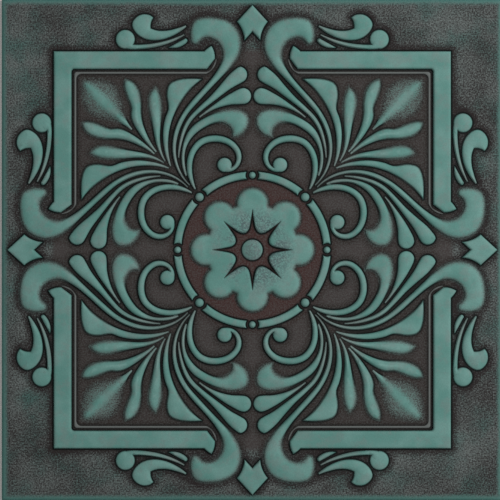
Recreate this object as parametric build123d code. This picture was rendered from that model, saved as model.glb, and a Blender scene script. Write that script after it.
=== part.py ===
from build123d import *
import os
from math import cos, hypot, radians, sin, sqrt

# Foam ceiling tile, glued up, with a moulded acanthus and rosette relief on its face.
# It lies on its flat back: origin at the centre of the back, Z out of the decorated face.
# All sizes are in millimetres.

# Slab
tile_side = 500.0
ground_height = 6.0
rim_width = 5.0
rim_drop = 2.5

# Walls of the relief: how far a wall leans in between its foot and its top,
# how many leans a mitre may reach at a fine tip, how far a chord may stray from its curve,
# and how many sides a round shape has
wall_lean = 0.5
sharpest_mitre = 4.0
chord_depth = 0.38
disc_sides = 16

# Relief heights above the ground
rosette_height = 4.0
scroll_height = 3.6
frond_height = 3.0
leaf_height = 2.6
frame_height = 3.0
rib_height = 1.2
ring_height = 2.5
bead_height = 2.8
kite_height = 2.8
curl_height = 2.8
corner_leaf_height = 1.2
corner_ridge_height = 2.2

# Rosette: round lobes that stop short of the ring, a disc between them that reaches just past
# their centres, an eight-point star recess and a domed boss
lobe_count = 8
lobe_radius = 16.1
lobe_gap = 8.8
disc_reach = 0.6
star_depth = 3.0
star_waist_radius = 18.4
boss_radius = 10.2
boss_flat_radius = 1.0
boss_height = 2.4

# Ring and its beads
ring_radius = 74.5
ring_width = 7.2
bead_radius = 3.2
corner_bead_radius = 4.1
bead_lean = 1.6
bead_clearance = 3.6

# Round bulbs at the ends of the volute and of the curl in the border
volute_bulb_radius = 7.0
curl_bulb_radius = 9.4

# Square frame: a flat bar and a thin rib inside it, open at the middle of each side
frame_border = 52.0
bar_width = 17.6
rib_gap = 2.5
rib_width = 2.6
rib_inner_radius = 5.0
frame_corner_radius = 3.0

# One side of an arm of the star, from its tip to the petals: half width and radius
star_arm = [(0.25, 40), (1, 33.5), (1.8, 28), (2.8, 23), (4.3, 19.4)]

# Sizes at which the curved ornament below is drawn
drawn_bead_place = 52.7
drawn_frame_inside = 180.4
drawn_frame_outside = 198.0
drawn_half_side = 250.0

# Worked out from the sizes above
half_side = tile_side / 2
frame_outside = half_side - frame_border
frame_inside = frame_outside - bar_width
rib_outside = frame_inside - rib_gap
bead_place = ring_radius / sqrt(2)
lobe_circle_radius = ring_radius - ring_width / 2 - lobe_gap - lobe_radius
rosette_disc_radius = lobe_circle_radius + disc_reach


# Carries a drawn coordinate, across or outward, to the tile's own sizes
def fitted(distance):
    drawn = [0, drawn_bead_place, drawn_frame_inside, drawn_frame_outside, drawn_half_side]
    real = [0, bead_place, frame_inside, frame_outside, half_side]
    for start in range(len(drawn) - 1):
        if distance <= drawn[start + 1]:
            break
    share = (distance - drawn[start]) / (drawn[start + 1] - drawn[start])
    return real[start] + share * (real[start + 1] - real[start])


def fit(run):
    return [(fitted(across), fitted(outward)) for across, outward in run]


def fit_spine(spine):
    return [(fitted(across), fitted(outward), half) for across, outward, half in spine]


# A run of an outline: two points make a line, three an arc and more a smooth curve
def curve(run):
    if len(run) == 2:
        return Line(*run)
    if len(run) == 3:
        return ThreePointArc(*run)
    return Spline(*run)


# Points along a run, without its last, so close that no chord strays further than chord_depth
def chord_points(run):
    if len(run) == 2:
        return run[:1]
    path = curve(run)
    spans = [(0, 0.5), (0.5, 1)]
    points = []
    while spans:
        start, end = spans.pop(0)
        middle = (start + end) / 2
        chord_middle = (path @ start + path @ end) / 2
        if (path @ middle - chord_middle).length > chord_depth:
            spans = [(start, middle), (middle, end)] + spans
        else:
            point = path @ start
            points.append((point.X, point.Y))
    return points


# Closed polygon from runs that meet end to end
def outline(runs):
    return [point for run in runs for point in chord_points(run)]


def direction(start, end):
    length = hypot(end[0] - start[0], end[1] - start[1])
    return (end[0] - start[0]) / length, (end[1] - start[1]) / length


def signed_area(points):
    pairs = zip(points, points[1:] + points[:1])
    return sum(a[0] * b[1] - b[0] * a[1] for a, b in pairs) / 2


# The same polygon moved in by a distance, with mitred corners
def inset(points, distance):
    inward = distance if signed_area(points) > 0 else -distance
    moved = []
    for before, point, after in zip(points[-1:] + points[:-1], points, points[1:] + points[:1]):
        into = direction(before, point)
        out = direction(point, after)
        across = (-into[1] - out[1], into[0] + out[0])
        length = hypot(*across)
        reach = inward * min(2 / length, sharpest_mitre) / length
        moved.append((point[0] + reach * across[0], point[1] + reach * across[1]))
    return moved


def polygon_wire(points, height):
    return Wire.make_polygon([(x, y, height) for x, y in points], close=True)


# Raised shape on the ground, with leaning walls and a flat top
def raised_polygon(points, height, lean=wall_lean):
    foot = polygon_wire(points, ground_height)
    top = polygon_wire(inset(points, lean), ground_height + height)
    return Solid.make_loft([foot, top], ruled=True)


def raised(runs, height):
    return raised_polygon(outline(runs), height)


# Round raised shape on the ground
def disc(centre, radius, height, lean=wall_lean):
    points = []
    for side in range(disc_sides):
        angle = radians(360 / disc_sides * side)
        points.append((centre[0] + radius * cos(angle), centre[1] + radius * sin(angle)))
    return raised_polygon(points, height, lean)


# Runs round a spine of (across, outward, half width), with a blunt near end and a round far end
def stroke(spine):
    left = []
    right = []
    ends = [spine[0]] + spine + [spine[-1]]
    for before, (x, y, half), after in zip(ends, spine, ends[2:]):
        along = direction(before, after)
        left.append((x - half * along[1], y + half * along[0]))
        right.append((x + half * along[1], y - half * along[0]))
    x, y, half = spine[-1]
    along = direction(spine[-2], spine[-1])
    cap = [left[-1], (x + half * along[0], y + half * along[1]), right[-1]]
    return [left, cap, right[::-1], [right[0], left[0]]]


# A run seen in the mirror of the outward axis, and in the mirror of the diagonal
def mirrored(run):
    return [(-x, y) for x, y in run[::-1]]


def swapped(run):
    return [(y, x) for x, y in run[::-1]]


def four_turns(solid, first_turn=0):
    return [solid.rotate(Axis.Z, first_turn + 90 * turn) for turn in range(4)]


def eight_copies(solid):
    return four_turns(solid) + four_turns(solid.mirror(Plane.YZ))


# Slab with its edges sloped down to the rim
def slab():
    edge_height = ground_height - rim_drop
    body = extrude(Rectangle(tile_side, tile_side), edge_height)
    foot = Pos(0, 0, edge_height) * Rectangle(tile_side, tile_side)
    top = Pos(0, 0, ground_height) * Rectangle(tile_side - 2 * rim_width, tile_side - 2 * rim_width)
    return body + loft([foot.face(), top.face()], ruled=True)


# Long S-shaped frond that springs from the ring and curls over in the border
def scroll():
    outer = [
        (61.9, 64.9), (72.9, 81.5), (76.4, 100), (72.7, 119.8), (62.3, 138.7), (48, 154.1), (32.5, 170.9),
        (15.8, 190), (11.3, 204), (18.5, 224), (42, 232), (57.5, 228.5), (62, 217), (61.4, 209.5),
    ]
    end = [(61.4, 209.5), (57.5, 205), (52.6, 207.6)]
    inner = [
        (52.6, 207.6), (45, 211.6), (35, 207.5), (29.5, 196), (37, 175.6), (52, 157.9),
        (66.1, 141.3), (76.7, 121.2), (79.7, 100), (75.1, 80.5), (63.1, 64.1),
    ]
    root = [(63.1, 64.1), (61.9, 64.9)]
    return raised([fit(run) for run in (outer, end, inner, root)], scroll_height)


# Two teardrops that lie along the scroll
def long_teardrop():
    head = [(10, 167.5), (5.3, 175.5), (12, 182.7)]
    upper = [
        (12, 182.7), (19, 178.3), (35, 160.7), (50, 145.5), (63.9, 131.2), (72.4, 110.3), (74.3, 92),
    ]
    tip = [(74.3, 92), (72.9, 91.6)]
    lower = [(72.9, 91.6), (69.6, 109.7), (60.7, 128.8), (40, 147), (20, 162), (10, 167.5)]
    return raised([fit(run) for run in (head, upper, tip, lower)], frond_height)


def short_teardrop():
    head = [(9, 145.6), (1.3, 153.5), (9, 161.4)]
    upper = [(9, 161.4), (21.6, 155.9), (35, 147.2), (53.5, 132.8)]
    tip = [(53.5, 132.8), (52.5, 131.6)]
    lower = [(52.5, 131.6), (37, 140.7), (21, 145), (9, 145.6)]
    return raised([fit(run) for run in (head, upper, tip, lower)], frond_height)


# Frond that hooks over towards the middle of the side
def hook():
    outer = [
        (20.5, 112.3), (10, 116), (4, 125), (5, 134.5), (15, 140), (30, 139), (45, 132.8), (61.8, 120.8),
        (70, 100.3), (69.4, 80.7), (66.5, 73.6),
    ]
    root = [(66.5, 73.6), (65.2, 74.2)]
    inner = [
        (65.2, 74.2), (66.7, 81.3), (66.8, 99.7), (56.2, 116.6), (45, 124), (33, 127.2), (22.5, 122.5),
        (20.5, 112.3),
    ]
    return raised([fit(run) for run in (outer, root, inner)], frond_height)


# Spiral band that ends in a round bulb
def volute():
    spine = [
        (57, 60.5, 0.7), (62.7, 80, 2.5), (60.3, 96, 2.8), (51, 107.6, 3.0), (36, 111, 3.1), (21, 106, 2.8),
        (13.4, 94, 2.5), (16.2, 83.8, 2), (20.5, 80.4, 1.7), (27, 79.4, 1.6),
    ]
    bulb_centre = (fitted(27.7), fitted(84.8))
    band = raised(stroke(fit_spine(spine)), frond_height)
    return band + disc(bulb_centre, volute_bulb_radius, frond_height)


# Leaves of the fan, from the scroll towards the corner
def outer_leaf():
    right = [(82.2, 83.2), (85.4, 91), (88.6, 105), (88.9, 120), (83.7, 140)]
    tip = [(83.7, 140), (85.2, 154), (82.5, 165), (73, 169.7), (50.5, 170.3)]
    left = [(50.5, 170.3), (60, 162.5), (70, 150), (80, 130.5), (84.1, 105), (80.9, 83.8)]
    root = [(80.9, 83.8), (82.2, 83.2)]
    return raised([fit(run) for run in (right, tip, left, root)], leaf_height)


def side_leaf():
    left = [(86.4, 88.9), (91.6, 104), (92, 120), (90.6, 145), (96.3, 162.7)]
    right = [(96.3, 162.7), (103.8, 151.5), (100.5, 130), (97.3, 112), (93.5, 99), (87.6, 88.1)]
    root = [(87.6, 88.1), (86.4, 88.9)]
    return raised([fit(run) for run in (left, right, root)], leaf_height)


def inner_leaf():
    left = [(95.2, 98.3), (107, 119), (110.8, 133), (111.5, 152), (118, 166), (127, 170)]
    tip = [(127, 170), (127, 159), (122.5, 147.5), (120.4, 141)]
    right = [(120.4, 141), (120.3, 131), (114.7, 119.5), (106, 107.5), (96.4, 97.2)]
    root = [(96.4, 97.2), (95.2, 98.3)]
    return raised([fit(run) for run in (left, tip, right, root)], leaf_height)


# Carries a drawn distance along the diagonal to the tile's own sizes
def diagonal(distance):
    return fitted(distance / sqrt(2)) * sqrt(2)


# Wide low leaf on the diagonal with a ridge along it, drawn upright and turned to the corner
def corner_leaf():
    side = [
        (0.7, 170), (2.8, 181), (7.8, 191.6), (14.1, 200.8), (17.7, 212), (12.5, 227), (0, 239.7),
    ]
    ridge = [(174, 0.9), (186, 2.4), (200, 4.8), (210, 6), (222, 5), (233, 3)]
    right = [(half, diagonal(along)) for half, along in side]
    root = [(-right[0][0], right[0][1]), right[0]]
    mound = raised([right, mirrored(right), root], corner_leaf_height)
    crest = raised(stroke([(0, diagonal(along), half) for along, half in ridge]), corner_ridge_height)
    return mound + crest


# Kite in the border, between two scrolls
def kite():
    edge = [(0, 244.3), (15.3, 227.6)]
    flank = [(15.3, 227.6), (10, 219), (7.8, 209.3)]
    notch = [(7.8, 209.3), (0, 217.8)]
    half = [fit(run) for run in (edge, flank, notch)]
    return raised(half + [mirrored(run) for run in half[::-1]], kite_height)


# Comma, small leaf and bulb with a tail that lie along the frame's outer edge
def comma():
    top = [(66.6, 223.9), (75, 221), (90, 218.3), (101.5, 221)]
    throat = [(101.5, 221), (101.3, 226), (98.8, 231.5)]
    back = [
        (98.8, 231.5), (106, 235), (115, 232.5), (119.8, 225), (116, 216.5), (107, 210.5), (94, 209.3),
        (77, 214.8), (65.8, 222.6),
    ]
    tip = [(65.8, 222.6), (66.6, 223.9)]
    return raised([fit(run) for run in (top, throat, back, tip)], curl_height)


def bulb_and_tail():
    tail = [(68, 214.6, 0.7), (85, 207.2, 1.6), (105, 203, 2.1), (125, 202.6, 2.0)]
    bulb_centre = (fitted(126.7), fitted(210))
    band = raised(stroke(fit_spine(tail)), curl_height)
    return band + disc(bulb_centre, curl_bulb_radius, curl_height)


def small_leaf():
    head = [(65.2, 207.5), (65.5, 210.3), (68.5, 210)]
    upper = [(68.5, 210), (75.5, 206.2), (83.3, 201.8)]
    lower = [(83.3, 201.8), (73, 202.3), (65.2, 207.5)]
    return raised([fit(run) for run in (head, upper, lower)], leaf_height)


# Arc that rounds the corner of two lines at the same distance from the axes
def corner_arc(line, radius):
    turn = line - radius
    middle = turn + radius / sqrt(2)
    return [(turn, line), (middle, middle), (line, turn)]


# Corner bar of the frame, with an eared end near the middle of each side
def frame_bar():
    top = [(frame_outside, frame_outside), (fitted(48), frame_outside)]
    ear = fit([(48, 198), (44.7, 201), (40.8, 203.4)])
    end = fit([(40.8, 203.4), (38, 197), (37.4, 190.8)])
    slant = fit([(37.4, 190.8), (45.3, 180.4)])
    arc = corner_arc(frame_inside, frame_corner_radius)
    inside = [(fitted(45.3), frame_inside), arc[0]]
    leg = [top, ear, end, slant, inside]
    return raised(leg + [arc] + [swapped(run) for run in leg[::-1]], frame_height)


# One side of the rib: its end, its straight run, the corner arc and the same on the other leg
def rib_side(line, corner, shift):
    end = fit([(36 + shift / 2, 190.5), (37.7 + shift, 185), (41.1 + shift, 179.5)]) + [(fitted(46), line)]
    arc = corner_arc(line, corner)
    straight = [end[-1], arc[0]]
    return [end, straight, arc, swapped(straight), swapped(end)]


# Thin rib inside the bar, with a rounded corner and an end that follows the bar's end
def frame_rib():
    outer = rib_side(rib_outside, frame_corner_radius, rib_width / 2)
    inner = rib_side(rib_outside - rib_width, rib_inner_radius, -rib_width / 2)
    cap = [inner[0][0], outer[0][0]]
    return raised([cap] + outer + [swapped(cap)] + [run[::-1] for run in inner[::-1]], rib_height)


def polar(radius, turn):
    angle = radians(360 / lobe_count * turn)
    return radius * cos(angle), radius * sin(angle)


# Ring cut away round its beads, and the beads
def ring():
    inner = ring_radius - ring_width / 2
    outer = ring_radius + ring_width / 2
    profile = [(inner, 0), (outer, 0), (outer - wall_lean, ring_height), (inner + wall_lean, ring_height)]
    section = Plane.XZ * make_face(Polyline(*profile, close=True))
    band = Pos(0, 0, ground_height) * revolve(section, Axis.Z)
    beads = []
    for turn in range(lobe_count):
        radius = corner_bead_radius if turn % 2 else bead_radius
        centre = polar(ring_radius, turn)
        band -= Pos(*centre, ground_height) * Cylinder(radius + bead_clearance, 2 * ring_height + 1)
        beads.append(disc(centre, radius, bead_height, bead_lean))
    return [band] + beads


# Round boss, turned from an arc that has three quarters of the height at half the radius
def boss():
    side = ThreePointArc((boss_radius, 0), (boss_radius / 2, 0.75 * boss_height), (boss_flat_radius, boss_height))
    rest = Polyline((boss_flat_radius, boss_height), (0, boss_height), (0, 0), (boss_radius, 0))
    return revolve(Plane.XZ * make_face([side, rest]), Axis.Z)


def rosette():
    floor = ground_height + rosette_height - star_depth
    foot = Pos(0, 0, ground_height) * lobes(0)
    top = Pos(0, 0, ground_height + rosette_height) * lobes(wall_lean)
    body = loft([foot, top], ruled=True)
    recess = extrude(Pos(0, 0, floor) * star(), star_depth)
    return (body - recess) + Pos(0, 0, floor) * boss()


def lobes(lean):
    shape = Circle(rosette_disc_radius - lean)
    for turn in range(lobe_count):
        shape += Pos(*polar(lobe_circle_radius, turn)) * Circle(lobe_radius - lean)
    return shape.face()


# A point beside the middle line of an arm of the star
def arm_point(turn, half, radius):
    x, y = polar(1, turn)
    return radius * x - half * y, radius * y + half * x


# Star whose edge runs from tip to tip, round the end of the petal between two arms
def star():
    corners = []
    for turn in range(lobe_count):
        near = [arm_point(turn, half, radius) for half, radius in star_arm]
        far = [arm_point(turn + 1, -half, radius) for half, radius in star_arm[::-1]]
        corners += chord_points(near + [polar(star_waist_radius, turn + 0.5)] + far) + far[-1:]
    return make_face(Polyline(*corners, close=True))


wedge_pieces = (
    scroll, long_teardrop, short_teardrop, hook, volute, outer_leaf, side_leaf, inner_leaf,
    comma, bulb_and_tail, small_leaf,
)
quarter_pieces = (kite, frame_bar, frame_rib)

relief = [rosette()] + ring()
for piece in wedge_pieces:
    relief += eight_copies(piece())
for piece in quarter_pieces:
    relief += four_turns(piece())
relief += four_turns(corner_leaf(), 45)

ceiling_tile = slab() + relief
ceiling_tile.label = "ceiling_tile"

os.makedirs("parts", exist_ok=True)
export_step(ceiling_tile, "parts/ceiling_tile.step")
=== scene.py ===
from math import ceil, cos, pi, radians, sin
import bmesh
import bpy
import numpy as np
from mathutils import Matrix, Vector
from mathutils.geometry import delaunay_2d_cdt


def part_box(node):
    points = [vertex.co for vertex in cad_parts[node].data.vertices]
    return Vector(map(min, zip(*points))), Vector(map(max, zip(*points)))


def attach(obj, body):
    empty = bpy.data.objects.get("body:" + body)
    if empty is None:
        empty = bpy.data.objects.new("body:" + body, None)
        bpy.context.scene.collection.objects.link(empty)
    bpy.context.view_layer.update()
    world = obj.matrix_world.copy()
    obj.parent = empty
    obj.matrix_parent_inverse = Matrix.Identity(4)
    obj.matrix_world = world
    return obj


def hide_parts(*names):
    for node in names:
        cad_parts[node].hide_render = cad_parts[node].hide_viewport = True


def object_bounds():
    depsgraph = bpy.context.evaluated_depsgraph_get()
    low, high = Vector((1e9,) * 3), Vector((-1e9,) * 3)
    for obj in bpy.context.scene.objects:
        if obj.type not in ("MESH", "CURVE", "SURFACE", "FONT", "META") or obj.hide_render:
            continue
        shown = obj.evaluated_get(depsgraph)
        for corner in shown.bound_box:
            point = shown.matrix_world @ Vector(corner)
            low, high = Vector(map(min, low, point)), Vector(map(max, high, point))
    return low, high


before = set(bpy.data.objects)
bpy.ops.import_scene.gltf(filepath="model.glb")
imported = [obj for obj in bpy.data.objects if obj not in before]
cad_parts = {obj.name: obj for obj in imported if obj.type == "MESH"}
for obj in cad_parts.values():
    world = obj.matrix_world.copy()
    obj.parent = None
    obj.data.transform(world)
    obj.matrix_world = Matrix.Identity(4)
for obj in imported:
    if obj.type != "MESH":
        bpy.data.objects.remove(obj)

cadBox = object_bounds()
mm = 0.001
tiny = 1e-9  # keeps divisions from zero
scene = bpy.context.scene

# Photographed from straight above, a little left of and below the tile's middle, in millimetres
shot = dict(lens=150.0, sensor=36.0, across=-2.3, up=-0.1, span=498.2, focusHeight=8.0)

# Floor, lamp and world, in metres
studio = dict(
    floorSide=6.0, floorColour=(0.62, 0.61, 0.59), floorRoughness=0.9,
    worldLevel=0.45, keyPlace=(1.3, 0.6, 1.5), keyPower=38.5, keySize=1.6,
)


def makeCamera():
    data = bpy.data.cameras.new("camera")
    data.lens = shot["lens"]
    data.sensor_width = shot["sensor"]
    camera = bpy.data.objects.new("camera", data)
    reach = shot["span"] * shot["lens"] / shot["sensor"] + shot["focusHeight"]
    camera.location = (shot["across"] * mm, shot["up"] * mm, reach * mm)
    scene.collection.objects.link(camera)
    scene.camera = camera


def makeFloor():
    half = studio["floorSide"] / 2
    corners = [(-half, -half, 0), (half, -half, 0), (half, half, 0), (-half, half, 0)]
    mesh = bpy.data.meshes.new("floor")
    mesh.from_pydata(corners, [], [(0, 1, 2, 3)])
    floor = bpy.data.objects.new("floor", mesh)
    scene.collection.objects.link(floor)
    material = bpy.data.materials.new("paleFloor")
    material.use_nodes = True
    surface = material.node_tree.nodes["Principled BSDF"]
    surface.inputs["Base Color"].default_value = (*studio["floorColour"], 1)
    surface.inputs["Roughness"].default_value = studio["floorRoughness"]
    mesh.materials.append(material)


def makeLight():
    world = bpy.data.worlds.new("studioWorld")
    world.use_nodes = True
    sky = world.node_tree.nodes["Background"]
    sky.inputs["Color"].default_value = (1, 1, 1, 1)
    sky.inputs["Strength"].default_value = studio["worldLevel"]
    scene.world = world
    data = bpy.data.lights.new("keyLamp", "AREA")
    data.shape = "DISK"
    data.size = studio["keySize"]
    data.energy = studio["keyPower"]
    lamp = bpy.data.objects.new("keyLamp", data)
    lamp.location = studio["keyPlace"]
    lamp.rotation_euler = (-Vector(studio["keyPlace"])).to_track_quat("-Z", "Y").to_euler()
    scene.collection.objects.link(lamp)
    scene.view_settings.view_transform = "Standard"


makeCamera()
makeFloor()
makeLight()
print("stage: camera, floor and lamp")

# The raised pieces of the pattern in one eighth of the tile, each found by a point on it, in millimetres.
# wall: share of the height that stands up steeply. crown: share of the half width that rounds over.
# soft: how far the paint is brushed out where the piece is wide. paint: how green it is, not worn grey.
# spread: how far the paint reaches past the edge. cover: how thick the paint is.
# line: how dark the pressed line round it is, dark glaze with painted shade. stemLine: how much of that is
# left beside thin stems.
# crest: how much paler the paint is along the middle of the piece.
plainPiece = dict(
    wall=0.4, crown=0.8, soft=0.0, paint=1.0, spread=0.25, cover=1.0, line=1.0, stemLine=0.75, crest=0.0,
)
patternPieces = {
    # the rosette's darker line is painted shadow round its lobes, darkest at the notches between them
    "rosette": dict(at=(0, 55), wall=0.25, crown=0.5, soft=0.75, line=1.2),
    "axisBead": dict(at=(0, 74.5), wall=0.2, crown=0.9, paint=0.9, crest=1.0),
    "cornerBead": dict(at=(52.7, 52.7), wall=0.2, crown=0.9, paint=0.9, crest=0.8),
    "ring": dict(at=(28, 69), wall=0.55, crown=0.6),
    "scroll": dict(at=(20, 205), wall=0.3, soft=0.85),
    "longTeardrop": dict(at=(12, 175)),
    "shortTeardrop": dict(at=(10, 153)),
    "hook": dict(at=(12, 130), wall=0.35, soft=0.9),
    "volute": dict(at=(36, 111)),
    "outerLeaf": dict(at=(78, 160), crown=0.7, soft=0.3, crest=0.6, stemLine=0.35),
    "sideLeaf": dict(at=(96, 140), wall=0.15, crown=0.95, soft=1.0, crest=1.0, stemLine=0.35),
    "innerLeaf": dict(at=(116, 140), wall=0.2, crown=0.95, soft=0.8, crest=1.0, stemLine=0.35),
    "cornerLeaf": dict(at=(148, 148), wall=0.1, crown=1.0, soft=1.6, stemLine=0.5),
    "kite": dict(at=(0, 228), wall=0.6, crown=0.35),
    "comma": dict(at=(110, 222), soft=0.1),
    "bulbAndTail": dict(at=(126.7, 210), soft=0.1),
    "smallLeaf": dict(at=(70, 206.5)),
    "bar": dict(at=(120, 189), wall=0.6, crown=0.22),
    "rib": dict(at=(120, 176.6), wall=0.5, crown=0.9, paint=0.0, spread=-0.1, cover=0.62, line=0.6),
    "star": dict(at=(0, 16), wall=0.5, crown=0.25),
    "boss": dict(at=(0, 3), wall=0.1, crown=1.0, paint=0.8),
}

# How chords become curves again and how rows of points follow them, in millimetres and degrees
drawing = dict(
    mergeGap=0.001, flatFacing=0.9999, edgeSlack=0.01,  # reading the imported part
    sharpTurn=62, cornerTurn=40, cornerRun=9.0, straightRun=32.0, tinyRun=0.3,  # what counts as a corner
    stepLength=4.0, straightStep=9.0, stepTurn=10.0, fanTurn=30.0, longestMitre=4.0,  # points along a curve
    nearestReach=0.2, widthSmooths=4,  # measuring widths
    raisedRows=(0.45, 1.1, 2.3, 4.2, 7.0, 10.5, 14.0), sunkRows=(0.6, 1.5, 2.8, 5.5), rowSlack=0.07,
    rimRows=(0.5, 1.3, 2.4, 3.6, 5.0, 7.5), rimStep=9.0, rimClear=0.5,
    fillStep=7.0, fillRise=0.866, fillMargin=7.0 / 3, fillClear=4.5,
    sideStep=3.0, sideMargin=1.0, sideClear=0.3,
    snapGap=0.08, diagonalGap=0.12, weldGap=0.05, axisGap=1e-4, eighthGap=0.01,  # joining points
)

# Moulded shape: pressed line round each piece, steep foot, narrowest crown, and the widths for soft edges
moulding = dict(
    grooveDepth=0.35, grooveWidth=1.9, softGroove=0.7, wallRun=0.75, leastCrown=0.9, widest=12.0,
    softFrom=3.2, softTo=7.5, crispFade=0.5, softFade=7.0, softSpread=2.3, softLine=0.65,
    stemFrom=0.8, stemTo=2.8, stemHeight=0.6, stemPaint=0.3, tipFrom=0.65, tipTo=1.3, tipCover=0.3,
    starPointWidth=2.5, ridgeRun=3.0, farFromRidge=30.0, creaseTurn=50,
)


# Flat up-facing areas of a merged copy of the part, as {height: [closed loops]} in millimetres
def readFlats(node):
    bm = bmesh.new()
    bm.from_mesh(node.data)
    bmesh.ops.remove_doubles(bm, verts=bm.verts, dist=drawing["mergeGap"] * mm)
    areas = {}  # faces at each height, in the mesh's own order
    for face in bm.faces:
        if face.normal.z > drawing["flatFacing"]:
            areas.setdefault(round(face.calc_center_median().z / mm, 2), {})[face] = True
    flats = {}
    for height, faces in areas.items():
        following = {}
        for face in faces:
            for corner in face.loops:
                if not any(other in faces for other in corner.edge.link_faces if other is not face):
                    following[corner.vert] = corner.link_loop_next.vert
        flats[height] = []
        while following:
            first, vert = following.popitem()
            loop = [first]
            while vert is not first:
                loop.append(vert)
                vert = following.pop(vert)
            flats[height].append(np.array([tuple(v.co.xy) for v in loop]) / mm)
    bm.free()
    return flats


def loopArea(loop):
    after = np.roll(loop, -1, 0)
    return 0.5 * np.sum(loop[:, 0] * after[:, 1] - after[:, 0] * loop[:, 1])


def insideLoop(points, loop):
    points = np.atleast_2d(points).astype(float)
    after = np.roll(loop, -1, 0)
    inside = np.zeros(len(points), bool)
    near = np.all((points >= loop.min(0)) & (points <= loop.max(0)), 1)
    across, up = points[near, 0][:, None], points[near, 1][:, None]
    crossed = (loop[:, 1] > up) != (after[:, 1] > up)
    rise = np.where(after[:, 1] == loop[:, 1], 1, after[:, 1] - loop[:, 1])
    meets = loop[:, 0] + (up - loop[:, 1]) / rise * (after[:, 0] - loop[:, 0])
    inside[near] = np.sum(crossed & (across < meets), 1) % 2 == 1
    return inside


def smoothStep(low, high, value):
    share = np.clip((value - low) / (high - low), 0, 1)
    return share * share * (3 - 2 * share)


def unit(vectors):
    return vectors / np.maximum(np.linalg.norm(vectors, axis=-1, keepdims=True), tiny)


def leftOf(vectors):
    return np.stack([-vectors[..., 1], vectors[..., 0]], -1)


# Mirror image of a direction in a line
def reflected(vectors, line):
    return 2 * np.sum(vectors * line, -1, keepdims=True) * line - vectors


def degreesBetween(first, second):
    return np.degrees(np.arccos(np.clip(np.sum(first * second, 1), -1, 1)))


# Turns a loop of chords back into its curve: points, and the way into and out of each
def smoothLoop(loop):
    loop = loop[np.linalg.norm(np.roll(loop, -1, 0) - loop, axis=1) > drawing["tinyRun"]]
    chord = np.roll(loop, -1, 0) - loop
    length = np.linalg.norm(chord, axis=1)
    heading = unit(chord)
    before = np.roll(heading, 1, 0)
    turn = degreesBetween(before, heading)
    longest = np.maximum(length, np.roll(length, 1))
    corner = (turn > drawing["sharpTurn"]) | (longest > drawing["straightRun"])
    corner |= (turn > drawing["cornerTurn"]) & (longest > drawing["cornerRun"])
    cornerNext = np.roll(corner, -1)
    blend = unit(before + heading)
    leave = np.where(corner[:, None], heading, blend)
    arrive = np.where(cornerNext[:, None], heading, np.roll(blend, -1, 0))
    fromCorner = corner & ~cornerNext
    toCorner = ~corner & cornerNext
    leave[fromCorner] = reflected(arrive, heading)[fromCorner]
    arrive[toCorner] = reflected(leave, heading)[toCorner]
    bend = degreesBetween(leave, arrive)
    points, wayIn, wayOut = [], [], []
    for i in range(len(loop)):
        start, end = length[i] * leave[i], length[i] * arrive[i]
        longStep = drawing["straightStep"] if corner[i] and cornerNext[i] else drawing["stepLength"]
        steps = max(1, ceil(length[i] / longStep), ceil(bend[i] / drawing["stepTurn"]))
        points.append(loop[i])
        wayIn.append(arrive[i - 1])
        wayOut.append(leave[i])
        # points of the cubic curve that leaves and arrives in those directions, and its direction there
        for t in np.arange(1, steps) / steps:
            curved = t * (1 - t) ** 2 * start + t * t * (t - 1) * end
            points.append(loop[i] + t * t * (3 - 2 * t) * chord[i] + curved)
            swung = (1 - t) * (1 - 3 * t) * start + t * (3 * t - 2) * end
            wayIn.append(unit(6 * t * (1 - t) * chord[i] + swung))
            wayOut.append(wayIn[-1])
    return np.array(points), np.array(wayIn), np.array(wayOut)


# Half the way across a closed outline at each of its points, measured straight inwards
def halfWidths(points, wayIn, wayOut):
    inward = leftOf(unit(wayIn + wayOut))
    side = np.roll(points, -1, 0) - points
    gap = points[None] - points[:, None]
    cross = inward[:, None, 0] * side[None, :, 1] - inward[:, None, 1] * side[None, :, 0]
    cross = np.where(abs(cross) < tiny, tiny, cross)
    reach = (gap[..., 0] * side[None, :, 1] - gap[..., 1] * side[None, :, 0]) / cross
    share = (gap[..., 0] * inward[:, None, 1] - gap[..., 1] * inward[:, None, 0]) / cross
    met = (share >= 0) & (share <= 1) & (reach > drawing["nearestReach"])
    reach = np.where(met, reach, 2 * moulding["widest"])
    half = np.minimum(reach.min(1) / 2, moulding["widest"])
    for _ in range(drawing["widthSmooths"]):
        half = (np.roll(half, 1) + 2 * half + np.roll(half, -1)) / 4
    return half


# One outline with what its piece looks like at each of its points. A sunk outline has its piece outside it.
def makeOutline(loop, name, low, high, sunk=False):
    style = {**plainPiece, **patternPieces[name]}
    points, wayIn, wayOut = smoothLoop(loop)
    half = halfWidths(points, wayIn, wayOut)
    ones = np.ones(len(points))
    stem = smoothStep(moulding["stemFrom"], moulding["stemTo"], half)
    stemLine = style["stemLine"] + (1 - style["stemLine"]) * stem
    if sunk:
        lowLine = high + (low - high) * smoothStep(0, moulding["starPointWidth"], half)
        highLine = high * ones
        cover = ones
        stem = ones
    else:
        lowLine = low * ones
        highLine = low + (high - low) * (moulding["stemHeight"] + (1 - moulding["stemHeight"]) * stem)
        thinTip = smoothStep(moulding["tipTo"], moulding["tipFrom"], half)
        cover = style["cover"] * (1 - (1 - moulding["tipCover"]) * thinTip)
    soft = style["soft"] * smoothStep(moulding["softFrom"], moulding["softTo"], half)
    softLine = 1 - moulding["softLine"] * np.minimum(soft, 1)
    return dict(
        name=name, points=points, wayIn=wayIn, wayOut=wayOut, sunk=sunk,
        low=lowLine, high=highLine, half=half, wall=style["wall"] * ones,
        crown=np.maximum(style["crown"] * half, moulding["leastCrown"]),
        soft=soft, fade=moulding["crispFade"] + soft * moulding["softFade"],
        spread=style["spread"] + soft * moulding["softSpread"],
        paint=style["paint"] * (moulding["stemPaint"] + (1 - moulding["stemPaint"]) * stem),
        line=style["line"] * softLine * stemLine, cover=cover, crest=style["crest"] * ones,
    )


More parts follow.
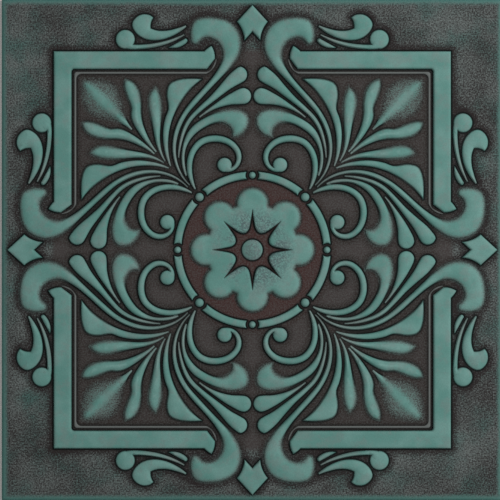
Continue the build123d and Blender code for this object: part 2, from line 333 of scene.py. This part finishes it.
# Heights of the flat areas that lie inside an outline, above a given height
def heightsWithin(flats, outline, above):
    return [height for height, loops in flats.items()
            if height > above and any(insideLoop(loop[:1], outline)[0] for loop in loops)]


# Every outline that reaches the eighth of the tile from the upward axis to the upper right diagonal
def readOutlines(flats):
    ground, top = min(flats), max(flats)
    feet = sorted(flats[ground], key=lambda loop: -abs(loopArea(loop)))
    rim, feet = feet[0], [foot[::-1] for foot in feet[1:]]
    found = []
    for name, style in patternPieces.items():
        for foot in feet:
            if insideLoop(style["at"], foot)[0] and name not in ("star", "boss"):
                found.append(makeOutline(foot, name, ground, max(heightsWithin(flats, foot, ground))))
    # the star is sunk in the rosette, and the boss stands in the star
    starEdge = [loop[::-1] for loop in flats[top] if loopArea(loop) < 0][0]
    inStar = [height for height, loops in flats.items()
              if ground < height < top and insideLoop(loops[0].mean(0), starEdge)[0]]
    starFloor, bossTop = min(inStar), max(inStar)
    bossFoot = [loop[::-1] for loop in flats[starFloor] if loopArea(loop) < 0][0]
    found.append(makeOutline(starEdge, "star", starFloor, top, sunk=True))
    found.append(makeOutline(bossFoot, "boss", starFloor, bossTop))
    # the corner leaf has a second, narrower step along its middle
    leaf = [line for line in found if line["name"] == "cornerLeaf"][0]
    leafSteps = heightsWithin(flats, leaf["points"], ground)
    ridgeHeight = max(leafSteps) - min(leafSteps)
    leaf["high"] -= ridgeHeight
    ridge = [loop for loop in flats[max(leafSteps)] if insideLoop(loop[:1], leaf["points"])[0]][0]
    return ground, rim, found, smoothLoop(ridge)[0], ridgeHeight


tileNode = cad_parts["ceiling_tile"]
groundHeight, rimLoop, outlines, ridgeLine, ridgeHeight = readOutlines(readFlats(tileNode))
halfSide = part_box("ceiling_tile")[1].x / mm
rimWidth = halfSide - rimLoop[:, 0].max()
atEdge = [vert.co.z for vert in tileNode.data.vertices if vert.co.x / mm > halfSide - drawing["edgeSlack"]]
edgeHeight = max(atEdge) / mm
print("stage: read", len(outlines), "outlines, ground", groundHeight, "rim", rimWidth, edgeHeight)

# All outlines as one list of short sides, with the values at both ends of each
sideStart = np.concatenate([line["points"] for line in outlines])
sideEnd = np.concatenate([np.roll(line["points"], -1, 0) for line in outlines])
shapeKeys = ("low", "high", "half", "wall", "crown", "crest")
paintKeys = ("soft", "fade", "spread", "paint", "line", "cover")
sideKeys = shapeKeys + paintKeys
startValue = {key: np.concatenate([line[key] for line in outlines]) for key in sideKeys}
endValue = {key: np.concatenate([np.roll(line[key], -1) for line in outlines]) for key in sideKeys}


# Distance from each point to the nearest side, which side that is and the share along it
def nearestSide(points, starts=sideStart, ends=sideEnd, chunk=400):
    run = ends - starts
    runSquare = np.sum(run * run, 1)
    distance, nearest, share = [], [], []
    for first in range(0, len(points), chunk):
        gap = points[first:first + chunk, None] - starts
        along = np.clip(np.sum(gap * run, 2) / runSquare, 0, 1)
        away = gap - along[..., None] * run
        square = np.sum(away * away, 2)
        index = square.argmin(1)
        rows = np.arange(len(index))
        distance.append(np.sqrt(square[rows, index]))
        nearest.append(index)
        share.append(along[rows, index])
    return np.concatenate(distance), np.concatenate(nearest), np.concatenate(share)


def isRaised(points):
    raised = np.zeros(len(points), bool)
    for line in outlines:
        raised ^= insideLoop(points, line["points"])
    return raised


def rounded(distance, run):
    return 1 - (1 - np.clip(distance / run, 0, 1)) ** 2


# Height and paint values of the finished face at each point
def mouldedFace(points):
    distance, nearest, share = nearestSide(points)
    value = {key: startValue[key][nearest] * (1 - share) + endValue[key][nearest] * share for key in sideKeys}
    raised = isRaised(points)
    groove = moulding["grooveDepth"] * (1 - moulding["softGroove"] * np.clip(value["soft"], 0, 1))
    foot = value["low"] - groove
    wall = value["wall"] * rounded(distance, moulding["wallRun"])
    lift = wall + (1 - value["wall"]) * rounded(distance, value["crown"])
    floor = value["low"] - groove * (1 - np.clip(distance / moulding["grooveWidth"], 0, 1)) ** 2
    height = np.where(raised, foot + (value["high"] - foot) * lift, floor)
    # the corner leaf's ridge, with how far inside it each point lies
    far = moulding["farFromRidge"]
    overRidge = nearestSide(points, ridgeLine, np.roll(ridgeLine, -1, 0))[0]
    overRidge = np.where(insideLoop(points, ridgeLine), overRidge, -overRidge)
    overRidge = np.where(raised, np.maximum(overRidge, -far), -far)
    height += ridgeHeight * smoothStep(-moulding["ridgeRun"], moulding["ridgeRun"], overRidge)
    # the rim rounds down to the edge
    inFromEdge = halfSide - np.abs(points).max(1)
    slope = np.clip(1 - inFromEdge / rimWidth, 0, 1)
    height -= (groundHeight - edgeHeight) * (1 - np.sqrt(1 - slope * slope))
    edge = np.where(raised, distance, -distance)
    crest = value["crest"] * np.clip(edge / value["half"], 0, 1)
    paint = {key: value[key] for key in paintKeys}
    return dict(height=height, edge=edge, crest=crest, rim=inFromEdge, ridge=overRidge, **paint)


# A row of points beside an outline: mitred inside a corner and fanned round the outside of it
def besideOutline(line, offset):
    row = []
    for point, into, out in zip(line["points"], line["wayIn"], line["wayOut"]):
        leftIn, leftOut = leftOf(into), leftOf(out)
        middle = unit(leftIn + leftOut)
        turn = np.arctan2(into[0] * out[1] - into[1] * out[0], np.dot(into, out))
        if abs(turn) < radians(drawing["stepTurn"]):
            row.append(point + offset * middle)
        elif turn * offset > 0:
            row.append(point + offset * middle * min(1 / cos(turn / 2), drawing["longestMitre"]))
        else:
            fans = ceil(abs(turn) / radians(drawing["fanTurn"]))
            for step in range(fans + 1):
                swing = turn * step / fans
                row.append(point + offset * (cos(swing) * leftIn + sin(swing) * leftOf(leftIn)))
    return np.array(row)


# Rows along every outline, each with its distance from it
def outlineRows():
    rows = []
    for line in outlines:
        towardsTop = -1 if line["sunk"] else 1
        rows.append((line["points"], 0.0))
        rows += [(besideOutline(line, towardsTop * offset), offset) for offset in drawing["raisedRows"]]
        rows += [(besideOutline(line, -towardsTop * offset), offset) for offset in drawing["sunkRows"]]
    return rows


# How far inside the two sides of the eighth each point lies
def sideRoom(points):
    return np.stack([points[:, 0], (points[:, 1] - points[:, 0]) / 2 ** 0.5], 1)


# Loose points over the open ground and the broad tops, and along the two sides of the eighth
def loosePoints():
    step = drawing["fillStep"]
    rise = step * drawing["fillRise"]
    inRim = halfSide - drawing["rimRows"][-1]
    fill = np.array([
        ((i + (j % 2) / 2) * step, j * rise)
        for j in range(ceil(halfSide / rise)) for i in range(ceil(halfSide / step))])
    margin = drawing["fillMargin"]
    fill = fill[(sideRoom(fill).min(1) > margin) & (fill[:, 1] < inRim - margin)]
    fill = fill[nearestSide(fill)[0] > drawing["fillClear"]]
    # those along the sides keep clear of the rows that cross them
    along = np.arange(drawing["sideStep"], inRim - drawing["sideMargin"], drawing["sideStep"])
    sidePoints = np.concatenate([np.stack([0 * along, along], 1), np.stack([along, along], 1)])
    allRows = np.array((0.0,) + drawing["raisedRows"] + drawing["sunkRows"])
    gaps = np.abs(nearestSide(sidePoints)[0][:, None] - allRows).min(1)
    return np.concatenate([fill, sidePoints[gaps > drawing["sideClear"]]])


# Points and edges of the eighth: outlines, rows beside them, rows along the rim, loose points, its own sides
def drawWedge():
    drawn, edges = [], []

    def addPoint(point):
        drawn.append(point)
        return len(drawn) - 1

    # a closed or open row, cut at the two sides of the eighth, without the points that are not good
    def addRow(row, good, closed):
        room = sideRoom(row)
        kept = good & (room.min(1) > -drawing["snapGap"])
        ids = [addPoint(point) if keep else None for point, keep in zip(row, kept)]
        for i in range(len(row) if closed else len(row) - 1):
            j = (i + 1) % len(row)
            if ids[i] is not None and ids[j] is not None:
                edges.append((ids[i], ids[j]))
            elif good[i] and good[j] and (ids[i] is None) != (ids[j] is None):
                outside, inside = (i, j) if ids[i] is None else (j, i)
                side = room[outside].argmin()
                share = room[inside, side] / (room[inside, side] - room[outside, side])
                edges.append((ids[inside], addPoint(row[inside] + share * (row[outside] - row[inside]))))

    rows = outlineRows()
    everyPoint = np.concatenate([row for row, offset in rows])
    away = nearestSide(everyPoint)[0]
    inTile = np.abs(everyPoint).max(1) < halfSide - rimWidth - drawing["rimClear"]
    first = 0
    for row, offset in rows:
        here = slice(first, first + len(row))
        first += len(row)
        addRow(row, (away[here] > offset - drawing["rowSlack"]) & inTile[here], closed=True)
    steps = ceil(halfSide / drawing["rimStep"])
    for inset in (0.0,) + drawing["rimRows"]:
        reach = halfSide - inset
        row = np.array([(reach * step / steps, reach) for step in range(steps + 1)])
        addRow(row, nearestSide(row)[0] > drawing["sunkRows"][0], closed=False)
    for point in loosePoints():
        addPoint(point)
    sides = [addPoint(np.array(corner)) for corner in ((0.0, 0.0), (0.0, halfSide), (halfSide, halfSide))]
    edges += [(sides[0], sides[1]), (sides[1], sides[2]), (sides[2], sides[0])]
    # points at the two sides go exactly onto them, so that the eighths meet
    points = np.array(drawn)
    points[abs(points[:, 0]) < drawing["snapGap"], 0] = 0
    onDiagonal = abs(points[:, 1] - points[:, 0]) < drawing["diagonalGap"]
    points[onDiagonal] = points[onDiagonal].mean(1, keepdims=True)
    return points, edges


def triangulate(points, edges):
    made = delaunay_2d_cdt([Vector(point) for point in points], edges, [], 0, drawing["weldGap"], False)
    points = np.array([tuple(point) for point in made[0]])
    points[abs(points[:, 0]) < drawing["axisGap"], 0] = 0
    return points, [tuple(face) for face in made[2]]


points, edges = drawWedge()
print("stage: drew", len(points), "points", len(edges), "edges")
points, faces = triangulate(points, edges)
values = mouldedFace(points)
print("stage: eighth has", len(points), "points", len(faces), "faces")

# The paint: its colours as the eye reads them, 0 to 255, its noises and its marks.
# noises: size in millimetres, detail and roughness. reach: where a mark begins and is full, in millimetres.
# level: the same for values from 0 to about 1. strength: how strong a mark is.
paintLook = dict(
    colours=dict(
        green=(84, 129, 121), greenPale=(101, 140, 133), crestPale=(118, 156, 149), rubbed=(68, 81, 84),
        # line: the near-black of the glaze and of the painted shade in the pressed line
        worn=(114, 119, 117), rimGreen=(74, 110, 104), rimTeal=(48, 98, 92), line=(8, 13, 13),
        brown=(41, 34, 32), redBrown=(58, 37, 35), openGround=(57, 51, 50), borderShade=(36, 31, 31),
        borderLight=(103, 111, 109), borderTeal=(72, 104, 99), foam=(236, 236, 232),
    ),
    noises=dict(
        grit=(1.1, 2.0, 0.6), grain=(1.5, 2.0, 0.75), patches=(26.0, 3.0, 0.55), clouds=(55.0, 4.0, 0.6),
        smears=(14.0, 4.0, 0.7),
    ),
    reach=dict(
        line=(2.6, 0.8), open=(2.5, 9.0), border=(196.0, 203.0), rim=(7.0, 1.5), rimInside=(0.0, 3.0),
        red=(90.0, 60.0), rub=(50.0, 22.0), boss=(13.0, 9.0), ridge=(-3.5, 4.0),
    ),
    level=dict(
        groundGrain=(0.4, 0.66), borderTeal=(0.38, 0.8), borderLight=(0.32, 0.76), brushed=(0.0, 1.0),
        dusty=(1.0, 1.5), dust=(0.26, 0.72), palePatch=(0.32, 0.68), smear=(0.46, 0.64), crest=(0.55, 1.0),
        rubPatch=(0.34, 0.6), rubGrain=(0.34, 0.62), bare=(0.7, 0.8),
    ),
    strength=dict(
        openRed=0.7, groundGrain=0.22, borderCloud=0.4, borderPaintedShade=0.14, rim=0.9, rimSwing=6.0,
        crispSwing=0.3, softSwing=0.8, mostDust=0.85, dustSwing=0.6, smear=0.32, crest=0.6,
        rubAnywhere=0.15, leastRub=0.15, mostRub=0.8, ridgeSwing=6.0, bareSwing=0.5,
        bump=0.5, bumpDepth=0.25, groundRoughness=0.85, greenSmoothness=0.15, specular=0.12,
    ),
)

# The paint values that the mesh carries, and what those not zero are on the back
faceReadings = ("edge", "fade", "spread", "soft", "paint", "line", "cover", "crest", "rim", "ridge", "bare")
backReadings = dict(edge=-20.0, fade=1.0, ridge=-moulding["farFromRidge"], bare=1.0)


# From the screen's 0 to 255 to the light that Blender mixes
def eyeColour(levels):
    linear = [((v / 255 + 0.055) / 1.055) ** 2.4 if v > 10 else v / 255 / 12.92 for v in levels]
    return (*linear, 1)


# Adds a node and fills its inputs with numbers or with other nodes' outputs
def addNode(tree, kind, inputs=None, **settings):
    node = tree.nodes.new(kind)
    for key, value in settings.items():
        setattr(node, key, value)
    for key, value in (inputs or {}).items():
        if isinstance(value, bpy.types.NodeSocket):
            tree.links.new(value, node.inputs[key])
        else:
            node.inputs[key].default_value = value
    return node


def paintFoam():
    material = bpy.data.materials.new("paintedFoam")
    material.use_nodes = True
    tree = material.node_tree
    surface = tree.nodes["Principled BSDF"]
    colours = {name: eyeColour(levels) for name, levels in paintLook["colours"].items()}
    reach, level, strength = paintLook["reach"], paintLook["level"], paintLook["strength"]

    def sums(operation, first, second):
        return addNode(tree, "ShaderNodeMath", {0: first, 1: second}, operation=operation).outputs[0]

    def plus(first, second):
        return sums("ADD", first, second)

    def minus(first, second):
        return sums("SUBTRACT", first, second)

    def times(first, second):
        return sums("MULTIPLY", first, second)

    # 0 at the first number, 1 at the second and smooth between
    def ramp(value, ends):
        span = {"Value": value, "From Min": ends[0], "From Max": ends[1]}
        return addNode(tree, "ShaderNodeMapRange", span, interpolation_type="SMOOTHSTEP").outputs["Result"]

    def mixed(share, first, second):
        return addNode(tree, "ShaderNodeMix", {0: share, 6: first, 7: second}, data_type="RGBA").outputs[2]

    def noise(name):
        size, detail, roughness = paintLook["noises"][name]
        look = {"Vector": place, "Scale": 1 / size, "Detail": detail, "Roughness": roughness}
        return addNode(tree, "ShaderNodeTexNoise", look).outputs["Fac"]

    def reading(name):
        return addNode(tree, "ShaderNodeAttribute", attribute_name=name).outputs["Fac"]

    # place on the tile in millimetres, the noises and the mesh's own readings
    onTile = addNode(tree, "ShaderNodeTexCoord").outputs["Object"]
    place = addNode(tree, "ShaderNodeVectorMath", {0: onTile, "Scale": 1 / mm}, operation="SCALE").outputs[0]
    fromMiddle = addNode(tree, "ShaderNodeVectorMath", {0: place}, operation="LENGTH").outputs["Value"]
    grit, grain, patches, clouds, smears = (noise(name) for name in paintLook["noises"])
    gritSwing = minus(grit, 0.5)
    cloudSwing = minus(clouds, 0.5)
    read = {name: reading(name) for name in faceReadings}
    outside = times(read["edge"], -1.0)

    # ground: darker brown by the pieces, partly glaze and partly painted shade, redder round the rosette and
    # greyer in the open
    openness = ramp(outside, reach["open"])
    redness = ramp(fromMiddle, reach["red"])
    nearGlazeAndShade = mixed(redness, colours["brown"], colours["redBrown"])
    openColour = mixed(times(redness, strength["openRed"]), colours["openGround"], colours["redBrown"])
    ground = mixed(openness, nearGlazeAndShade, openColour)
    groundGrain = times(ramp(grain, level["groundGrain"]), strength["groundGrain"])
    ground = mixed(groundGrain, ground, colours["borderLight"])

    # border: stippled dark and light, in clouds, with a green cast in places, and darker near the pieces as
    # painted shade
    border = ramp(minus(halfSide, read["rim"]), reach["border"])
    stipple = plus(grain, times(cloudSwing, strength["borderCloud"]))
    # painted shade: the stipple darkens close to the pieces
    stipple = minus(stipple, times(minus(1.0, openness), strength["borderPaintedShade"]))
    light = mixed(ramp(patches, level["borderTeal"]), colours["borderLight"], colours["borderTeal"])
    stippled = mixed(ramp(stipple, level["borderLight"]), colours["borderShade"], light)
    ground = mixed(border, ground, stippled)

    # dark glaze and painted shade in the pressed line
    colour = mixed(times(ramp(outside, reach["line"]), read["line"]), ground, colours["line"])

    # green along the rim, brushed out over the ground
    rimReach = plus(read["rim"], times(plus(gritSwing, cloudSwing), strength["rimSwing"]))
    rimColour = mixed(ramp(read["rim"], reach["rimInside"]), colours["rimTeal"], colours["rimGreen"])
    colour = mixed(times(ramp(rimReach, reach["rim"]), strength["rim"]), colour, rimColour)

    # where the green lies: speckled where its edge is soft, and dusted on over the softest pieces
    depth = sums("DIVIDE", plus(read["edge"], read["spread"]), read["fade"])
    swing = times(gritSwing, plus(strength["crispSwing"], times(read["soft"], strength["softSwing"])))
    mask = times(ramp(plus(depth, swing), level["brushed"]), read["cover"])
    dust = minus(strength["mostDust"], times(ramp(grit, level["dust"]), strength["dustSwing"]))
    mask = times(mask, minus(1.0, times(ramp(read["soft"], level["dusty"]), dust)))

    # green in two shades, smeared grey in places, paler along crests and rubbed in patches round the rosette
    green = mixed(ramp(patches, level["palePatch"]), colours["green"], colours["greenPale"])
    green = mixed(times(ramp(smears, level["smear"]), strength["smear"]), green, colours["worn"])
    green = mixed(times(ramp(read["crest"], level["crest"]), strength["crest"]), green, colours["crestPale"])
    rubPlace = plus(strength["rubAnywhere"], ramp(fromMiddle, reach["rub"]))
    rub = times(ramp(patches, level["rubPatch"]), rubPlace)
    rub = sums("MAXIMUM", rub, ramp(fromMiddle, reach["boss"]))
    rub = sums("MAXIMUM", sums("MINIMUM", rub, strength["mostRub"]), strength["leastRub"])
    green = mixed(times(rub, ramp(grain, level["rubGrain"])), green, colours["rubbed"])

    # greyer where it is thin or at a soft edge, and full on the corner leaf's ridge
    edgeWear = times(minus(1.0, mask), sums("MINIMUM", read["soft"], 1.0))
    greenness = times(read["paint"], minus(1.0, edgeWear))
    colour = mixed(mask, colour, mixed(greenness, colours["worn"], green))
    ridgeReach = plus(read["ridge"], times(gritSwing, strength["ridgeSwing"]))
    colour = mixed(ramp(ridgeReach, reach["ridge"]), colour, green)

    # bare white foam on the back, with a ragged end of the paint on the sides
    bareReach = plus(read["bare"], times(gritSwing, strength["bareSwing"]))
    colour = mixed(ramp(bareReach, level["bare"]), colour, colours["foam"])

    bump = addNode(tree, "ShaderNodeBump", {
        "Height": plus(grit, grain), "Strength": strength["bump"], "Distance": strength["bumpDepth"] * mm})
    roughness = minus(strength["groundRoughness"], times(mask, strength["greenSmoothness"]))
    tree.links.new(colour, surface.inputs["Base Color"])
    tree.links.new(bump.outputs["Normal"], surface.inputs["Normal"])
    tree.links.new(roughness, surface.inputs["Roughness"])
    surface.inputs["Specular IOR Level"].default_value = strength["specular"]
    return material


# Mirrors one eighth and turns the pair round the middle
def eightfoldTree():
    tree = bpy.data.node_groups.new("eightfoldTile", "GeometryNodeTree")
    inputs = {
        "Eighth": "NodeSocketGeometry", "Turns": "NodeSocketInt", "Weld Gap": "NodeSocketFloat",
        "Finish": "NodeSocketMaterial",
    }
    for name, kind in inputs.items():
        tree.interface.new_socket(name, in_out="INPUT", socket_type=kind)
    tree.interface.new_socket("Tile", in_out="OUTPUT", socket_type="NodeSocketGeometry")
    given = addNode(tree, "NodeGroupInput").outputs
    mirror = addNode(tree, "GeometryNodeTransform", {"Geometry": given["Eighth"], "Scale": (-1, 1, 1)})
    flipped = addNode(tree, "GeometryNodeFlipFaces", {"Mesh": mirror.outputs[0]})
    pair = addNode(tree, "GeometryNodeJoinGeometry", {"Geometry": given["Eighth"]})
    tree.links.new(flipped.outputs[0], pair.inputs[0])
    spots = addNode(tree, "GeometryNodeMeshLine", {"Count": given["Turns"], "Offset": (0, 0, 0)})
    step = addNode(tree, "ShaderNodeMath", {0: 2 * pi, 1: given["Turns"]}, operation="DIVIDE")
    index = addNode(tree, "GeometryNodeInputIndex")
    angle = addNode(tree, "ShaderNodeMath", {0: index.outputs[0], 1: step.outputs[0]}, operation="MULTIPLY")
    swing = addNode(tree, "ShaderNodeCombineXYZ", {"Z": angle.outputs[0]})
    turned = addNode(tree, "FunctionNodeEulerToRotation", {0: swing.outputs[0]})
    copies = addNode(tree, "GeometryNodeInstanceOnPoints", {
        "Points": spots.outputs[0], "Instance": pair.outputs[0], "Rotation": turned.outputs[0]})
    solid = addNode(tree, "GeometryNodeRealizeInstances", {"Geometry": copies.outputs[0]})
    welded = addNode(tree, "GeometryNodeMergeByDistance", {
        "Geometry": solid.outputs[0], "Distance": given["Weld Gap"]})
    finished = addNode(tree, "GeometryNodeSetMaterial", {
        "Geometry": welded.outputs[0], "Material": given["Finish"]})
    addNode(tree, "NodeGroupOutput", {"Tile": finished.outputs[0]})
    return tree


# The eighth as a mesh: face, outer side and back, with the paint values on its points
def eighthMesh():
    border = [i for i in np.argsort(points[:, 0]) if points[i, 1] > halfSide - drawing["edgeSlack"]]
    corners = [(x * mm, y * mm, z * mm) for (x, y), z in zip(points, values["height"])]
    first = len(corners)
    corners += [(points[i, 0] * mm, points[i, 1] * mm, 0) for i in border] + [(0, 0, 0)]
    middle = len(corners) - 1
    allFaces = list(faces)
    for n in range(len(border) - 1):
        allFaces.append((border[n], border[n + 1], first + n + 1, first + n))
        allFaces.append((middle, first + n, first + n + 1))
    mesh = bpy.data.meshes.new("tileEighth")
    mesh.from_pydata(corners, [], allFaces)
    for name in faceReadings:
        back = np.full(len(border) + 1, backReadings.get(name, 0.0))
        filled = np.append(values.get(name, np.zeros(first)), back)
        mesh.attributes.new(name, "FLOAT", "POINT").data.foreach_set("value", filled.astype(np.float32))
    return mesh


def makeTile():
    eighth = bpy.data.objects.new("tileEighth", eighthMesh())
    scene.collection.objects.link(eighth)
    tree = eightfoldTree()
    modifier = eighth.modifiers.new("eightfold", "NODES")
    modifier.node_group = tree
    wanted = {"Turns": 4, "Weld Gap": drawing["eighthGap"] * mm, "Finish": paintFoam()}
    for socket in tree.interface.items_tree:
        if socket.name in wanted:
            modifier[socket.identifier] = wanted[socket.name]
    ready = eighth.evaluated_get(bpy.context.evaluated_depsgraph_get())
    mesh = bpy.data.meshes.new_from_object(ready)
    mesh.name = "tileFace"
    bpy.data.objects.remove(eighth)
    bm = bmesh.new()
    bm.from_mesh(mesh)
    bmesh.ops.recalc_face_normals(bm, faces=bm.faces)
    for vert in bm.verts:
        vert.co.x = min(max(vert.co.x, cadBox[0].x), cadBox[1].x)
        vert.co.y = min(max(vert.co.y, cadBox[0].y), cadBox[1].y)
    loose = [edge for edge in bm.edges if len(edge.link_faces) != 2]
    volume = bm.calc_volume() / mm ** 3
    print("stage: tile has", len(bm.faces), "faces and", len(loose), "open edges, volume", volume)
    bm.to_mesh(mesh)
    bm.free()
    mesh.shade_smooth()
    mesh.set_sharp_from_angle(angle=radians(moulding["creaseTurn"]))
    made = bpy.data.objects.new("tileFace", mesh)
    scene.collection.objects.link(made)
    return made


tile = makeTile()
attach(tile, "root")
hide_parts("ceiling_tile")
bpy.context.view_layer.update()
